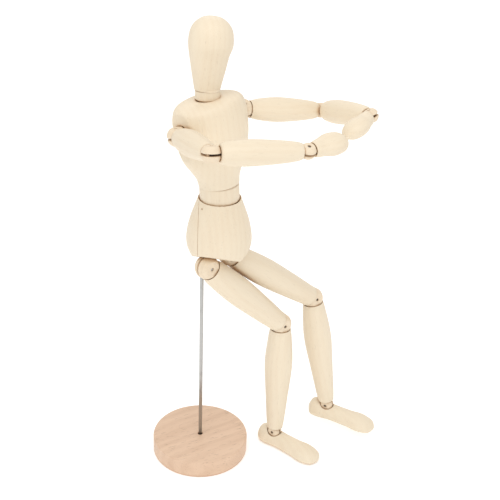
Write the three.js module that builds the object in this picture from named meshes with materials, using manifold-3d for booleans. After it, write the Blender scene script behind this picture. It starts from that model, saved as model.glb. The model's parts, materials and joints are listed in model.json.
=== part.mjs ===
// Wooden lay figure (artist's mannequin) seated in the air on a steel rod and a round base.
// Units are millimetres, +Z is up, the figure faces -Y and its left side is +X.
// The origin is the centre of the underside of the base.
//
// Every joint is a wooden ball with two flat cheeks, sawn with a kerf and crossed by a pin.
// The limbs on both sides have round sockets, and springs in their bores hook round the pins.

import * as THREE from 'three';
import { mergeVertices } from 'three/addons/utils/BufferGeometryUtils.js';
import Module from 'manifold-3d';

const wasm = await Module();
wasm.setup();

// ---------- driving dimensions ----------

const BASE_D = 60;
const BASE_H = 11;
const BASE_EDGE = 0.9;
const ROD_D = 2.2;
const ROD_SEAT = 2.5;
const ROD_TOP = 166;
const ROD_CLEARANCE = 0.4;
const PELVIS_X = 4.6;
const PELVIS_Y = -13;
const PELVIS_TURN = 26;
const CROTCH_Z = 148.4;
const PELVIS_TOP_Z = 184.5;
const PELVIS_R = 18.6;
const HIP_SPREAD = 10.4;
const HIP_Z = 144.7;
const HIP_CUT = 29;
const HIP_SPRING_REACH = 14;
const WAIST_R = 11.2;
const WAIST_H = 9;
const WAIST_DOME_R = 14;
const CHEST_H = 50;
const CHEST_SIDE = 20.6;
const SHOULDER_SPREAD = 23.8;
const SHOULDER_H = 36;
const NECK_R = 6.8;
const NECK_H = 4.6;
const NECK_DOME_R = 9;
const HEAD_H = 39;
const THIGH_L = 76.5;
const CALF_L = 80;
const UPPER_ARM_L = 50;
const FOREARM_L = 50;
const FOOT_SOLE = 9.3;
const HAND_FLAT = 0.72;

const GAP = 0.3;
const SOCKET_GAP = 0.45;
const FACET_ROOM = 1.03;
const KERF = 1.9;
const PIN_D = 1.1;
const WIRE_D = 0.6;
const EYE_R = 1.35;
const EYE_SIDE = 0.45;
const COIL_R = 1.6;
const BORE_R = 2.4;

// Joint balls: radius, half thickness between the flat cheeks, and where the limbs' ends are cut
// off, as a share of the socket's radius from its centre.
const SHOULDER = { r: 5.7, half: 4.6, lip: 0.72 };
const ELBOW = { r: 5.2, half: 4.1, lip: 0.76 };
const WRIST = { r: 4.3, half: 3.3, lip: 0.68 };
const HIP = { r: 7, half: 5.4, lip: 0.72 };
const KNEE = { r: 6.6, half: 5.2, lip: 0.68 };
const ANKLE = { r: 4.4, half: 3.4, lip: 0.72 };

// The seated pose. Angles are in degrees: turn is measured from straight ahead towards the
// figure's left, rise is measured upwards from level.
const POSE = {
  waist: { lean: 3, tilt: 1.5, turn: 5 },
  chest: { lean: 7, tilt: 4.5, turn: 18 },
  neck: { lean: 4, tilt: -1, turn: 15 },
  head: { lean: 2, tilt: -6, turn: 15 },
  right: {
    upperArm: { turn: -3, rise: 12 },
    forearm: { turn: 80, rise: -3.5 },
    hand: { turn: 99, rise: 2 },
    thigh: { turn: 95.9, rise: -45.8 },
    calf: { turn: -33, rise: -87 },
    foot: { turn: 28, rise: 0 },
  },
  left: {
    upperArm: { turn: 86, rise: -7.5 },
    forearm: { turn: 1, rise: 16.5 },
    hand: { turn: -60, rise: -8 },
    thigh: { turn: 93.9, rise: -37.6 },
    calf: { turn: 45, rise: -79.5 },
    foot: { turn: 42, rise: -4 },
  },
};

// ---------- materials ----------

const wood = (color) => new THREE.MeshStandardMaterial({ color, roughness: 0.62, metalness: 0 });
const FIGURE_WOOD = wood(0xf0dfc2);
const BALL_WOOD = wood(0xe8d2ae);
const BASE_WOOD = wood(0xdcbd9b);
const STEEL = new THREE.MeshStandardMaterial({ color: 0xa9a9a6, roughness: 0.35, metalness: 1 });
const SPRING_STEEL = new THREE.MeshStandardMaterial({ color: 0x77787a, roughness: 0.4, metalness: 1 });

// ---------- solids ----------

// Turns a closed geometry into a manifold solid, dropping the empty triangles at its poles.
function solid(geometry) {
  geometry.deleteAttribute('normal');
  geometry.deleteAttribute('uv');
  const merged = mergeVertices(geometry, 1e-4);
  const index = Array.from(merged.index.array);
  const kept = [];
  for (let i = 0; i < index.length; i += 3) {
    const [a, b, c] = index.slice(i, i + 3);
    if (a !== b && b !== c && c !== a) kept.push(a, b, c);
  }
  const build = (triangles) => new wasm.Manifold(new wasm.Mesh({
    numProp: 3,
    vertProperties: new Float32Array(merged.attributes.position.array),
    triVerts: new Uint32Array(triangles),
  }));
  const body = build(kept);
  return body.volume() > 0 ? body : build(kept.reverse());
}

function geometryOf(body) {
  const mesh = body.getMesh();
  const geometry = new THREE.BufferGeometry();
  geometry.setAttribute('position', new THREE.BufferAttribute(new Float32Array(mesh.vertProperties), 3));
  geometry.setIndex(new THREE.BufferAttribute(new Uint32Array(mesh.triVerts), 1));
  geometry.computeVertexNormals();
  return geometry;
}

function piece(name, body, material) {
  const mesh = new THREE.Mesh(geometryOf(body), material);
  mesh.name = name;
  return mesh;
}

// A turned shape about Z from [radius, height] points that start and end on the axis.
function turned(profile, segments = 16) {
  const points = profile.map(([radius, height]) => new THREE.Vector2(radius, height));
  return new THREE.LatheGeometry(points, segments).rotateX(Math.PI / 2);
}

// Smooth turned profile through [radius, height] points, closed on the axis at both ends.
function smoothProfile(points, divisions) {
  const curve = new THREE.SplineCurve(points.map(([radius, height]) => new THREE.Vector2(radius, height)));
  const line = curve.getPoints(divisions).map((point) => [Math.max(point.x, 0), point.y]);
  return [[0, line[0][1]], ...line, [0, line[line.length - 1][1]]];
}

function ball(radius, centre = [0, 0, 0], segments = 14) {
  return solid(new THREE.SphereGeometry(radius, segments, segments / 2 + 1).rotateX(Math.PI / 2)).translate(centre);
}

function block(size, centre) {
  return solid(new THREE.BoxGeometry(...size)).translate(centre);
}

function rodAlongZ(radius, bottom, top, segments = 12) {
  const geometry = new THREE.CylinderGeometry(radius, radius, top - bottom, segments);
  return solid(geometry.rotateX(Math.PI / 2)).translate([0, 0, (top + bottom) / 2]);
}

function rodAlongX(radius, length, segments = 8) {
  return solid(new THREE.CylinderGeometry(radius, radius, length, segments).rotateZ(Math.PI / 2));
}

const socketRadius = (joint) => joint.r + SOCKET_GAP;
const lipDistance = (joint) => joint.lip * socketRadius(joint);

// The ball that cuts a socket is drawn a little larger, so that its flats clear the joint ball.
function socket(joint, centre) {
  return ball(socketRadius(joint) * FACET_ROOM, centre);
}

// ---------- joint hardware ----------

// A ball with two flat cheeks on X. The kerf lies across X and is open all round, with a web
// left inside it on the +Y side, where no hook passes.
function jointBall(joint) {
  const cheek = Math.sqrt(joint.r ** 2 - joint.half ** 2);
  const edge = Math.asin(joint.half / joint.r);
  const profile = [[0, -joint.half], [cheek, -joint.half]];
  const steps = 4;
  for (let i = 1; i < steps; i += 1) {
    const angle = -edge + (2 * edge * i) / steps;
    profile.push([joint.r * Math.cos(angle), joint.r * Math.sin(angle)]);
  }
  profile.push([cheek, joint.half], [0, joint.half]);
  const body = solid(turned(profile, 14)).rotate([0, 90, 0]);
  const webInner = EYE_R + WIRE_D;
  const webOuter = joint.r - 1;
  const web = block([KERF * 2, webOuter - webInner, joint.r], [0, (webInner + webOuter) / 2, 0]);
  const kerf = block([KERF, joint.r * 2 + 2, joint.r * 2 + 2], [0, 0, 0]).subtract(web);
  const pinHole = rodAlongX(PIN_D / 2 + GAP, joint.r * 2 + 2);
  return body.subtract(kerf).subtract(pinHole);
}

function pin(joint) {
  return rodAlongX(PIN_D / 2, joint.half * 2 - 0.8);
}

// A path that an extrusion follows point by point.
class PointPath extends THREE.Curve {
  constructor(points) {
    super();
    this.points = points;
  }

  getPoint(t) {
    const place = Math.min(Math.max(t, 0), 1) * (this.points.length - 1);
    const first = Math.min(Math.floor(place), this.points.length - 2);
    return this.points[first].clone().lerp(this.points[first + 1], place - first);
  }

  getPointAt(t) {
    return this.getPoint(t);
  }

  getTangent(t) {
    const step = 0.5 / (this.points.length - 1);
    const ahead = this.getPoint(Math.min(t + step, 1));
    return ahead.sub(this.getPoint(Math.max(t - step, 0))).normalize();
  }

  getTangentAt(t) {
    return this.getTangent(t);
  }
}

// Points of an open eye round the pin of a joint at the origin. Its end leaves along +Z, straight
// until it is out of the ball, and all of it is rolled about Z.
function eyePoints(joint, roll, side) {
  const points = [];
  for (const degrees of [55, 10, -35, -80, -125, -170, -215]) {
    const angle = THREE.MathUtils.degToRad(degrees);
    points.push(new THREE.Vector3(side, EYE_R * Math.cos(angle), EYE_R * Math.sin(angle)));
  }
  points.push(new THREE.Vector3(side, -0.3, EYE_R + 0.6));
  points.push(new THREE.Vector3(side, -0.3, joint.r + WIRE_D));
  return points.map((point) => point.applyAxisAngle(new THREE.Vector3(0, 0, 1), roll));
}

function coilPoints(from, to, turns) {
  const points = [];
  const perTurn = 6;
  for (let i = 0; i <= turns * perTurn; i += 1) {
    const angle = (2 * Math.PI * i) / perTurn;
    const height = from + ((to - from) * i) / (turns * perTurn);
    points.push(new THREE.Vector3(COIL_R * Math.cos(angle), COIL_R * Math.sin(angle), height));
  }
  return points;
}

function wire(points) {
  const half = WIRE_D / 2;
  const section = new THREE.Shape([
    new THREE.Vector2(half, 0),
    new THREE.Vector2(-half * 0.5, half * 0.87),
    new THREE.Vector2(-half * 0.5, -half * 0.87),
  ]);
  const options = { steps: points.length - 1, bevelEnabled: false, extrudePath: new PointPath(points) };
  return solid(new THREE.ExtrudeGeometry(section, options));
}

// A spring whose eye holds the pin of the joint at the origin and which runs on along Z. Where
// far is given, { joint, length, roll }, it has a second eye round that joint's pin.
function spring(joint, coilStart, coilEnd, side, far = null) {
  const points = [...eyePoints(joint, 0, side), ...coilPoints(coilStart, coilEnd, 3)];
  if (far) {
    const mirrored = eyePoints(far.joint, far.roll, -side).reverse();
    for (const point of mirrored) points.push(new THREE.Vector3(point.x, point.y, far.length - point.z));
  }
  return wire(points);
}

// ---------- limbs ----------

// A turned limb from the ball at the origin to the one at z = length. The ends are the radii where
// it is cut off, and the stations between them are [share of the length, radius].
function limb(length, near, far, ends, stations) {
  const points = [[ends[0], lipDistance(near)]];
  for (const [share, radius] of stations) points.push([radius, length * share]);
  points.push([ends[1], length - lipDistance(far)]);
  const outer = solid(turned(smoothProfile(points, 9), 14));
  return outer
    .subtract(socket(near, [0, 0, 0]))
    .subtract(socket(far, [0, 0, length]))
    .subtract(rodAlongZ(BORE_R, 0, length));
}

function upperArm() {
  return limb(UPPER_ARM_L, SHOULDER, ELBOW, [4.9, 4.1], [[0.2, 6.2], [0.42, 7.1], [0.68, 6.1], [0.86, 4.9]]);
}

function forearm() {
  return limb(FOREARM_L, ELBOW, WRIST, [4.1, 3.8], [[0.16, 5.6], [0.36, 6.7], [0.66, 5.9], [0.86, 4.7]]);
}

function thigh() {
  return limb(THIGH_L, HIP, KNEE, [5.8, 5.5], [[0.14, 7.8], [0.4, 8.8], [0.7, 7.7], [0.88, 6.5]]);
}

function calf() {
  return limb(CALF_L, KNEE, ANKLE, [5.6, 5], [[0.12, 7.2], [0.36, 8.9], [0.66, 7.2], [0.88, 5.9]]);
}

// A flat rounded hand, a mitten, with its length on Z and its palm facing X.
function hand() {
  const profile = smoothProfile([
    [3.9, lipDistance(WRIST)],
    [5.8, 8.5],
    [7.2, 14.5],
    [5.8, 21],
    [0.8, 25.2],
  ], 9);
  const outline = turned(profile, 14).scale(HAND_FLAT, 1, 1);
  return solid(outline)
    .subtract(socket(WRIST, [0, 0, 0]))
    .subtract(rodAlongZ(BORE_R, 0, 14));
}

// A foot with its length on -Y, its ankle ball at the origin and its sole level below it.
function foot() {
  const stations = [
    [0.8, -11.6],
    [5, -9.6],
    [6.2, -5],
    [5.6, 4],
    [6.4, 16],
    [7.6, 24],
    [6.2, 31],
    [1, 34.6],
  ];
  const outline = turned(smoothProfile(stations, 10), 14).rotateX(Math.PI / 2);
  const position = outline.attributes.position;
  for (let i = 0; i < position.count; i += 1) {
    const along = -position.getY(i);
    const thickness = THREE.MathUtils.mapLinear(THREE.MathUtils.clamp(along, 0, 30), 0, 30, 1.15, 0.62);
    const axis = THREE.MathUtils.mapLinear(THREE.MathUtils.clamp(along, -6, 30), -6, 30, -5.2, -7.4);
    position.setZ(i, position.getZ(i) * thickness + axis);
  }
  return solid(outline)
    .subtract(block([40, 80, 20], [0, 0, -FOOT_SOLE - 10]))
    .subtract(socket(ANKLE, [0, 0, 0]))
    .subtract(rodAlongZ(BORE_R, -FOOT_SOLE + 1.6, 0));
}

// ---------- stand ----------

function baseDisc() {
  const radius = BASE_D / 2;
  const profile = [
    [0, 0],
    [radius - BASE_EDGE, 0],
    [radius, BASE_EDGE],
    [radius, BASE_H - BASE_EDGE],
    [radius - BASE_EDGE, BASE_H],
    [0, BASE_H],
  ];
  return solid(turned(profile, 36)).subtract(rodAlongZ(ROD_D / 2 + ROD_CLEARANCE, ROD_SEAT - GAP, BASE_H + 1));
}

const rod = () => rodAlongZ(ROD_D / 2, ROD_SEAT, ROD_TOP, 12);

// ---------- torso ----------

const domeRise = (domeRadius, rimRadius) => Math.sqrt(domeRadius ** 2 - rimRadius ** 2);

// A drum between two rims at z = 0 and z = height, with domed ends that sit in round dishes.
function drum(rimRadius, domeRadius, height, boreRadius) {
  const rise = domeRise(domeRadius, rimRadius);
  const below = ball(domeRadius, [0, 0, rise], 20);
  const above = ball(domeRadius, [0, 0, height - rise], 20);
  const wall = solid(turned([[0, -20], [rimRadius, -20], [rimRadius, height + 20], [0, height + 20]], 20));
  return wall.intersect(below).intersect(above).subtract(rodAlongZ(boreRadius, -30, height + 30));
}

// The dish for a drum whose rim lies at z = 0 and whose dome points down (or up, if direction is -1).
function dish(rimRadius, domeRadius, direction) {
  const rise = domeRise(domeRadius, rimRadius);
  return ball((domeRadius + SOCKET_GAP) * 1.02, [0, 0, direction * rise], 20);
}

// The turned pelvis, with two slanting cuts for the hips. Its frame is the
// middle of its upper rim.
function pelvis() {
  const bottom = CROTCH_Z - PELVIS_TOP_Z;
  const profile = smoothProfile([
    [15.4, bottom],
    [18.2, bottom + 7],
    [PELVIS_R, bottom + 14],
    [16.6, bottom + 24],
    [12.4, 0],
  ], 10);
  let body = solid(turned(profile, 22));
  const crotchHalf = 5.2;
  for (const side of [-1, 1]) {
    const cut = block([60, 60, 30], [30, 0, -15]).rotate([0, -HIP_CUT, 0]).translate([crotchHalf, 0, bottom]);
    const hip = [side * HIP_SPREAD, 0, HIP_Z - PELVIS_TOP_Z];
    const bore = rodAlongZ(BORE_R, 0, HIP_SPRING_REACH + 1).rotate([0, -side * HIP_CUT, 0]).translate(hip);
    body = body.subtract(side > 0 ? cut : cut.mirror([1, 0, 0]));
    body = body.subtract(socket(HIP, hip)).subtract(bore);
  }
  const rodHole = rodAlongZ(ROD_D / 2 + ROD_CLEARANCE, bottom - 1, ROD_TOP + 2 - PELVIS_TOP_Z);
  return body
    .subtract(dish(WAIST_R, WAIST_DOME_R, 1))
    .subtract(rodAlongZ(5, -16, 2))
    .subtract(rodHole.translate([-PELVIS_X, -PELVIS_Y, 0]).rotate([0, 0, -PELVIS_TURN]));
}

const waist = () => drum(WAIST_R, WAIST_DOME_R, WAIST_H, 4.6);

// The chest is turned round at the waist and grows wide and flat towards the shoulders.
function chest() {
  const stations = [
    [11.4, 0],
    [12.2, 5],
    [14.9, 11],
    [18.2, 18],
    [20.2, 27],
    [20.8, 36],
    [19.6, 43],
    [14.6, 48.2],
    [7.6, CHEST_H],
  ];
  const geometry = turned(smoothProfile(stations, 11), 20);
  const position = geometry.attributes.position;
  for (let i = 0; i < position.count; i += 1) {
    const flat = THREE.MathUtils.smoothstep(position.getZ(i), 2, 22);
    position.setX(i, position.getX(i) * (1 + 0.1 * flat));
    position.setY(i, position.getY(i) * (1 - 0.22 * flat));
  }
  let body = solid(geometry);
  for (const side of [-1, 1]) {
    body = body.subtract(block([20, 80, 120], [side * (CHEST_SIDE + 10), 0, 0]));
    body = body.subtract(socket(SHOULDER, [side * SHOULDER_SPREAD, 0, SHOULDER_H]));
  }
  const crossBore = rodAlongX(BORE_R, SHOULDER_SPREAD * 2, 12).translate([0, 0, SHOULDER_H]);
  return body
    .subtract(crossBore)
    .subtract(rodAlongZ(3, -5, CHEST_H + 5))
    .subtract(dish(WAIST_R, WAIST_DOME_R, -1))
    .subtract(dish(NECK_R, NECK_DOME_R, 1).translate([0, 0, CHEST_H]));
}

const neck = () => drum(NECK_R, NECK_DOME_R, NECK_H, 3);

// A plain egg of a head with a shallow flat for the face. Its frame is the neck's upper rim.
function head() {
  const stations = [
    [7.2, 0],
    [8.5, 6],
    [10.4, 15],
    [12, 25],
    [10.7, 33],
    [6, 37.8],
    [0.6, HEAD_H],
  ];
  const geometry = turned(smoothProfile(stations, 11), 20);
  const position = geometry.attributes.position;
  for (let i = 0; i < position.count; i += 1) {
    const low = 1 - THREE.MathUtils.smoothstep(position.getZ(i), 15, 26);
    if (position.getY(i) < 0) position.setY(i, position.getY(i) * (1 - 0.16 * low));
  }
  return solid(geometry)
    .subtract(dish(NECK_R, NECK_DOME_R, -1))
    .subtract(rodAlongZ(4.4, -2, 8));
}

// ---------- assembly ----------

const radians = THREE.MathUtils.degToRad;

function direction({ turn, rise }) {
  const level = Math.cos(radians(rise));
  return new THREE.Vector3(
    Math.sin(radians(turn)) * level,
    -Math.cos(radians(turn)) * level,
    Math.sin(radians(rise)),
  );
}

function lean(object, { lean: back, tilt, turn }) {
  object.rotation.set(-radians(back), -radians(tilt), radians(turn), 'ZYX');
}

// A rotation whose Z follows one direction and whose X follows the pin as nearly as it can.
function frameOf(zAxis, pinAxis) {
  const y = new THREE.Vector3().crossVectors(zAxis, pinAxis).normalize();
  const x = new THREE.Vector3().crossVectors(y, zAxis);
  return new THREE.Quaternion().setFromRotationMatrix(new THREE.Matrix4().makeBasis(x, y, zAxis));
}

// The roll about the limb's axis from one pin to the next.
function rollBetween(zAxis, firstPin, secondPin) {
  const turnedPin = new THREE.Vector3().crossVectors(firstPin, secondPin);
  return Math.atan2(turnedPin.dot(zAxis), firstPin.dot(secondPin));
}

// The pin that lets one direction fold towards the next.
const pinBetween = (first, second) => new THREE.Vector3().crossVectors(first, second).normalize();

const assembly = new THREE.Group();

function place(mesh, position, quaternion) {
  mesh.position.copy(position);
  mesh.quaternion.copy(quaternion);
  assembly.add(mesh);
}

// One joint ball with its pin: X is the pin, Z runs on along the piece before it.
function addBall(name, joint, position, before, pinAxis) {
  const quaternion = frameOf(before, pinAxis);
  place(piece(`${name}_ball`, jointBall(joint), BALL_WOOD), position, quaternion);
  place(piece(`${name}_pin`, pin(joint), STEEL), position, quaternion);
}

function limbSpring(joint, part, roll) {
  const far = { joint: part.endJoint, length: part.length, roll };
  return spring(joint, part.length * 0.22, part.length * 0.78, -EYE_SIDE, far);
}

// A two-segment limb with its end piece: shoulder to hand, or hip to foot.
function addLimb(spec) {
  const { side, root, rootJoint, across, parts, directions, end } = spec;
  const [upper, lower] = parts;
  const [first, second] = directions.map(direction);
  const last = direction(end.pose);
  const rootPin = pinBetween(across, first);
  const middlePin = pinBetween(first, second);
  const endPin = pinBetween(second, last);

  addBall(`${side}_${rootJoint.name}`, rootJoint.size, root, across, rootPin);
  const anchor = spring(rootJoint.size, rootJoint.size.r + 1.5, spec.anchorReach, EYE_SIDE);
  place(piece(`${side}_${rootJoint.name}_spring`, anchor, SPRING_STEEL), root,
    frameOf(across.clone().negate(), rootPin));

  place(piece(`${side}_${upper.name}`, upper.body(), FIGURE_WOOD), root, frameOf(first, rootPin));
  const upperSpring = limbSpring(rootJoint.size, upper, rollBetween(first, rootPin, middlePin));
  place(piece(`${side}_${upper.name}_spring`, upperSpring, SPRING_STEEL), root, frameOf(first, rootPin));

  const middle = root.clone().addScaledVector(first, upper.length);
  addBall(`${side}_${upper.endName}`, upper.endJoint, middle, first, middlePin);
  place(piece(`${side}_${lower.name}`, lower.body(), FIGURE_WOOD), middle, frameOf(second, middlePin));
  const lowerSpring = limbSpring(upper.endJoint, lower, rollBetween(second, middlePin, endPin));
  place(piece(`${side}_${lower.name}_spring`, lowerSpring, SPRING_STEEL), middle, frameOf(second, middlePin));

  const tip = middle.clone().addScaledVector(second, lower.length);
  addBall(`${side}_${lower.endName}`, lower.endJoint, tip, second, endPin);
  end.add(tip, last, endPin);
}

function addArm(side, chestFrame, across, pose) {
  const sign = side === 'left' ? 1 : -1;
  const root = new THREE.Vector3(sign * SHOULDER_SPREAD, 0, SHOULDER_H).applyMatrix4(chestFrame);
  const outward = across.clone().multiplyScalar(sign);
  addLimb({
    side,
    root,
    rootJoint: { name: 'shoulder', size: SHOULDER },
    across: outward,
    anchorReach: SHOULDER_SPREAD - 4,
    parts: [
      { name: 'upper_arm', body: upperArm, length: UPPER_ARM_L, endName: 'elbow', endJoint: ELBOW },
      { name: 'forearm', body: forearm, length: FOREARM_L, endName: 'wrist', endJoint: WRIST },
    ],
    directions: [pose.upperArm, pose.forearm],
    end: {
      pose: pose.hand,
      add: (tip, along, endPin) => {
        const frame = frameOf(along, endPin);
        place(piece(`${side}_hand`, hand(), FIGURE_WOOD), tip, frame);
        place(piece(`${side}_hand_spring`, spring(WRIST, 5.6, 12.8, -EYE_SIDE), SPRING_STEEL), tip, frame);
      },
    },
  });
}

function addLeg(side, pelvisFrame, pose) {
  const sign = side === 'left' ? 1 : -1;
  const cut = radians(HIP_CUT);
  const root = new THREE.Vector3(sign * HIP_SPREAD, 0, HIP_Z - PELVIS_TOP_Z).applyMatrix4(pelvisFrame);
  const across = new THREE.Vector3(sign * Math.sin(cut), 0, -Math.cos(cut)).transformDirection(pelvisFrame);
  addLimb({
    side,
    root,
    rootJoint: { name: 'hip', size: HIP },
    across,
    anchorReach: HIP_SPRING_REACH,
    parts: [
      { name: 'thigh', body: thigh, length: THIGH_L, endName: 'knee', endJoint: KNEE },
      { name: 'calf', body: calf, length: CALF_L, endName: 'ankle', endJoint: ANKLE },
    ],
    directions: [pose.thigh, pose.calf],
    end: {
      pose: pose.foot,
      add: (tip, along, endPin) => {
        const level = new THREE.Vector3(-along.y, along.x, 0).normalize();
        const up = new THREE.Vector3().crossVectors(level, along).negate();
        const footFrame = new THREE.Matrix4().makeBasis(level, along.clone().negate(), up.normalize());
        const frame = new THREE.Quaternion().setFromRotationMatrix(footFrame);
        place(piece(`${side}_foot`, foot(), FIGURE_WOOD), tip, frame);
        const down = up.clone().negate();
        place(piece(`${side}_foot_spring`, spring(ANKLE, 5.5, 6.8, -EYE_SIDE), SPRING_STEEL), tip, frameOf(down, endPin));
      },
    },
  });
}

assembly.add(piece('base_disc', baseDisc(), BASE_WOOD));
assembly.add(piece('rod', rod(), STEEL));

const torso = new THREE.Group();
torso.position.set(PELVIS_X, PELVIS_Y, PELVIS_TOP_Z);
const pelvisMesh = piece('pelvis', pelvis(), FIGURE_WOOD);
pelvisMesh.rotation.z = radians(PELVIS_TURN);
torso.add(pelvisMesh);
assembly.add(torso);

const waistMesh = piece('waist', waist(), FIGURE_WOOD);
lean(waistMesh, POSE.waist);
torso.add(waistMesh);

const chestMesh = piece('chest', chest(), FIGURE_WOOD);
chestMesh.position.set(0, 0, WAIST_H).applyEuler(waistMesh.rotation);
lean(chestMesh, POSE.chest);
torso.add(chestMesh);

const neckMesh = piece('neck', neck(), FIGURE_WOOD);
neckMesh.position.set(0, 0, CHEST_H).applyEuler(chestMesh.rotation).add(chestMesh.position);
lean(neckMesh, POSE.neck);
torso.add(neckMesh);

const headMesh = piece('head', head(), FIGURE_WOOD);
headMesh.position.set(0, 0, NECK_H).applyEuler(neckMesh.rotation).add(neckMesh.position);
lean(headMesh, POSE.head);
torso.add(headMesh);

assembly.updateMatrixWorld(true);
const chestAcross = new THREE.Vector3(1, 0, 0).transformDirection(chestMesh.matrixWorld);
addArm('right', chestMesh.matrixWorld, chestAcross, POSE.right);
addArm('left', chestMesh.matrixWorld, chestAcross, POSE.left);
addLeg('right', pelvisMesh.matrixWorld, POSE.right);
addLeg('left', pelvisMesh.matrixWorld, POSE.left);

export default assembly;
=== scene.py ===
"""The wooden lay figure on its rod and round base: finely turned wood, steel pins and springs,
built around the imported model. Lengths named here are millimetres unless they say otherwise, and
each piece is made in its own frame (its length on Z, its pin on X) and then put where the
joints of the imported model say."""

import json
import math

import bmesh
import bpy
import numpy as np
from mathutils import Matrix, Vector


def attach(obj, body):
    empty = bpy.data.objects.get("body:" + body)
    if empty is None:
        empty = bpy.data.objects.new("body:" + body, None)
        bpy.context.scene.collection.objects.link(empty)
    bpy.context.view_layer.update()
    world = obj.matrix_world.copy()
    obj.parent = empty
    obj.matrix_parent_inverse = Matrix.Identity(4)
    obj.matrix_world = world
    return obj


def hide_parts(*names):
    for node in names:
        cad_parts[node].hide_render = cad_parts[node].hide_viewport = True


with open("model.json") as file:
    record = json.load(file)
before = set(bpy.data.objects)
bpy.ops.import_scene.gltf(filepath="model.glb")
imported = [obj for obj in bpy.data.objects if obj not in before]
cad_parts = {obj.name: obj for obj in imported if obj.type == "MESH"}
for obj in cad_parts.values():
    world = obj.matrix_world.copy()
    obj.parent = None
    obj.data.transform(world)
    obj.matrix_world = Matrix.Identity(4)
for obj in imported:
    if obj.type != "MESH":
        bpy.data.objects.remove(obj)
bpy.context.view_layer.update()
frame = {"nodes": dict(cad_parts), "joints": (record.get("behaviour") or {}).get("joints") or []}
JOINTS = {joint["name"]: joint for joint in frame["joints"]}
MM = 0.001

# ---------- sizes ----------

GAP = 0.3  # between a ball and its socket
BORE_R = 2.4  # the lengthwise holes that the springs lie in
KERF = 1.25  # the saw cut across a ball, where the springs' eyes hook round the pin
PIN_R = 0.65
PIN_PLAY = 0.28
WIRE_R = 0.25
EYE_R = 1.35
EYE_SIDE = 0.31  # an eye's distance from the middle of the kerf
COIL_R = 1.6
COIL_SPAN = (0.22, 0.78)  # where a limb's coil lies, in shares of the limb's length
HAND_COIL = (6.2, 12.8)
FOOT_COIL = (5.5, 6.8)
HIP_COIL_END = 14
SHOULDER_COIL_SPARE = 4  # how far a shoulder's coil ends before the middle of the chest

# Joint balls: radius, half thickness between the cheeks, share of the socket radius at its lip.
SHOULDER = {"r": 5.7, "half": 4.6, "lip": 0.66}
ELBOW = {"r": 5.2, "half": 4.1, "lip": 0.76}
WRIST = {"r": 4.3, "half": 3.3, "lip": 0.68}
HIP = {"r": 7.0, "half": 5.4, "lip": 0.5}
KNEE = {"r": 6.6, "half": 5.2, "lip": 0.5}
ANKLE = {"r": 4.4, "half": 3.4, "lip": 0.72}

# Limbs: end radii and [share of the length, radius] stations between them.
UPPER_ARM = {"ends": (4.85, 4.25), "stations": [(0.2, 6.2), (0.42, 7.1), (0.68, 6.3), (0.86, 5.15)]}
FOREARM = {"ends": (4.45, 4.1), "stations": [(0.14, 6.0), (0.36, 6.9), (0.66, 6.2), (0.87, 5.1)]}
THIGH = {"ends": (6.75, 6.5), "stations": [(0.14, 7.9), (0.4, 8.8), (0.7, 7.8), (0.88, 6.9)]}
CALF = {"ends": (6.5, 5.0), "stations": [(0.12, 7.5), (0.36, 8.9), (0.66, 7.2), (0.88, 5.8)]}

# Hands and feet: [radius, distance from the joint] stations.
HAND_STATIONS = [(5.8, 8.5), (7.2, 14.5), (5.8, 21), (0.8, 25.2)]
HAND_END = 3.9
HAND_FLAT = 0.72
HAND_BORE = 14
FOOT_STATIONS = [
    (0.8, -11.6), (5, -9.6), (6.2, -5), (5.6, 4), (6.4, 16), (7.6, 24), (6.0, 31), (1, 34.0),
]
FOOT_SOLE = 9.3
SLIM = 0.977  # limbs, hands and feet are this much slimmer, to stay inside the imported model

BASE_R = 30
BASE_H = 11
BASE_EDGE = 0.9
ROD_R = 1.1
ROD_HOLE_R = 1.5
ROD_BOTTOM = 2.5
ROD_TOP = 166
ROD_DEPTH = 20  # the rod's hole in the pelvis

# The torso: [radius, height] stations.
PELVIS_H = 36.1
PELVIS_BORE = (5, 16)  # radius and depth
PELVIS_STATIONS = [(15.4, 0), (18.2, 7), (18.6, 14), (16.6, 24), (12.4, PELVIS_H)]
CROTCH_HALF = 6.2
HIP_DROP = -3.7  # the hip joints against the pelvis's underside
HIP_CUT = 29  # degrees from level
HIP_LEAN = 14  # degrees that the hip cuts rise towards the front
GLUE_OFF = 11.3  # the glue line's plane, from the pelvis's axis
GLUE_TURN = -53
PIN_DOT = (-13.3, 1.85, 33.6)  # a small pin hole beside the glue line
PIN_DOT_R = 0.55
PIN_DOT_TURN = 172
# Drums: radius of the rim, of the domed ends and of the bore, and height from rim to rim.
WAIST = {"rim": 11.2, "dome": 14, "height": 9, "bore": 4.6}
NECK = {"rim": 6.8, "dome": 9, "height": 4.6, "bore": 3}
SEAT_GAP = 0.13  # between a drum's dome and its seat
CHEST_H = 50
CHEST_SIDE = 20.6  # half the chest's width, flat at the shoulders
CHEST_WIDEN = 0.1
CHEST_FLATTEN = 0.22
CHEST_BORE = 3
CHEST_STATIONS = [
    (11.4, 0), (12.2, 5), (14.9, 11), (18.2, 18), (20.2, 27), (20.8, 36), (20.5, 43), (17.6, 48.2),
    (7.6, CHEST_H),
]
SHOULDER_H = 36
HEAD_H = 39
HEAD_STATIONS = [(7.2, 0), (8.5, 6), (10.4, 15), (12, 25), (10.7, 33), (6, 37.8), (0.6, HEAD_H)]
HEAD_BORE = (4.4, 8)  # radius and depth
FACE_FLAT = 0.17

ROUND = 128  # steps round a turned piece
TORSO_VOXEL = 0.35
FOOT_VOXEL = 0.3

# ---------- small maths ----------


def joint_point(name):
    return Vector(JOINTS[name]["pos_m"])


def joint_axis(name):
    return Vector(JOINTS[name]["axis"]).normalized()


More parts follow.
